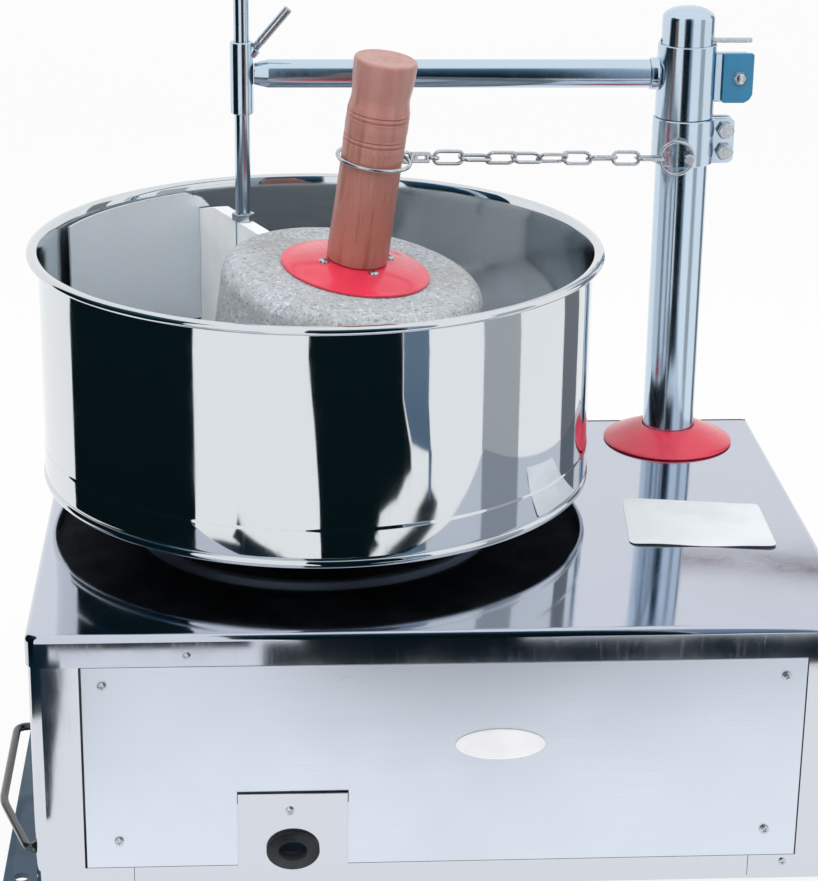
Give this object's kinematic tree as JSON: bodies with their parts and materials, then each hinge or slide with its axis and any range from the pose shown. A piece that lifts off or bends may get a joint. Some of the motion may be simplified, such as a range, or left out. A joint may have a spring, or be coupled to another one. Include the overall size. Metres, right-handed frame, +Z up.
{
  "type": "commercial wet grinder",
  "caption": "Wet grinder: steel drum with granite base on a steel cabinet, leaning roller stone with wooden handle, chain to a pillar, swing arm with scraper.",
  "frame": {"origin": "on the floor, midway across the overall width and length", "axes": "+Z up, +X to the right seen from the front panel, +Y to the back; front panel faces -Y"},
  "size_m": [0.632, 0.4856, 0.6],
  "materials": {
    "polished_steel": "mirror-polished stainless steel",
    "brushed_steel": "satin steel",
    "zinc": "zinc-plated steel",
    "dark_iron": "painted cast iron",
    "granite": "rough dressed granite",
    "red_paint": "glossy red paint",
    "blue_paint": "blue paint",
    "black_paint": "black paint",
    "motor_paint": "grey paint",
    "wood": "turned and oiled",
    "nylon": "milled nylon",
    "rubber": "black rubber",
    "enamel": "white, blank"
  },
  "bodies": {
    "frame": {"base_runner_left": "blue_paint", "base_runner_right": "blue_paint", "base_cross_front": "blue_paint", "base_cross_rear": "blue_paint", "bearing_bridge": "blue_paint", "side_wrap_left": "polished_steel", "side_wrap_right": "polished_steel", "rear_panel": "brushed_steel", "bottom_rail": "polished_steel", "deck_top": "polished_steel", "deck_disc": "polished_steel", "front_panel": "polished_steel", "cable_plate": "polished_steel", "cable_grommet": "rubber", "badge_plate": "enamel", "panel_screw_1": "zinc", "panel_screw_2": "zinc", "panel_screw_3": "zinc", "panel_screw_4": "zinc", "carry_handle_left": "black_paint", "carry_handle_right": "black_paint", "bearing_housing": "dark_iron", "upper_bearing": "brushed_steel", "lower_bearing": "brushed_steel", "shaft_seal": "rubber", "drive_belt": "rubber", "motor_plate": "zinc", "motor_body": "motor_paint", "pillar": "polished_steel", "pillar_socket": "dark_iron", "pillar_flange": "red_paint", "chain_collar": "polished_steel", "clamp_bolt_upper": "zinc", "clamp_bolt_lower": "zinc", "pillar_ring": "zinc", "chain": "zinc", "swivel_clip": "zinc", "handle_ring": "zinc"},
    "drum": {"drum_shell": "polished_steel", "granite_base": "granite", "turntable": "dark_iron", "main_shaft": "brushed_steel", "driven_pulley": "dark_iron"},
    "rotor": {"motor_shaft": "brushed_steel", "motor_pulley": "dark_iron"},
    "roller": {"grinding_stone": "granite", "stone_cap_plate": "red_paint", "stone_tie_rod": "brushed_steel", "wooden_handle": "wood"},
    "arm": {"arm_sleeve": "polished_steel", "arm_tube": "polished_steel", "lock_plate": "blue_paint", "lock_bolt": "zinc", "rod_collar": "polished_steel"},
    "clamp": {"clamp_screw": "zinc"},
    "scraper": {"scraper_rod": "polished_steel", "nylon_scraper": "nylon", "scraper_nut": "zinc", "guide_plate": "brushed_steel"},
    "pin": {"retaining_pin": "zinc"}
  },
  "joints": [
    {"name": "drum_spin", "type": "hinge", "parent": "frame", "child": "drum", "pos_m": [-0.082, 0.0278, 0.2], "axis": [0, 0, 1], "continuous": true},
    {"name": "motor_spin", "type": "hinge", "parent": "frame", "child": "rotor", "pos_m": [0.15, 0.0278, 0.1], "axis": [0, 0, 1], "continuous": true},
    {"name": "stone_spin", "type": "hinge", "parent": "frame", "child": "roller", "pos_m": [-0.05028, -0.00688, 0.41919], "axis": [0.1283, -0.0864, 0.988], "continuous": true},
    {"name": "arm_swing", "type": "hinge", "parent": "frame", "child": "arm", "pos_m": [0.2095, 0.1375, 0.5], "axis": [0, 0, 1], "range_deg": [0, 1.5]},
    {"name": "scraper_lift", "type": "slide", "parent": "arm", "child": "scraper", "axis": [0, 0, 1], "range_m": [0, 0.078]},
    {"name": "clamp_turn", "type": "hinge", "parent": "arm", "child": "clamp", "pos_m": [-0.137, 0.1375, 0.5116], "axis": [0.6481, 0, 0.7615], "range_deg": [0, 360]},
    {"name": "pin_pull", "type": "slide", "parent": "frame", "child": "pin", "axis": [1, 0, 0], "range_m": [0, 0.03]}
  ],
  "couplings": [
    {"joint": "motor_spin", "follows": "drum_spin", "ratio": 5.8485},
    {"joint": "stone_spin", "follows": "drum_spin", "ratio": 1.38}
  ]
}
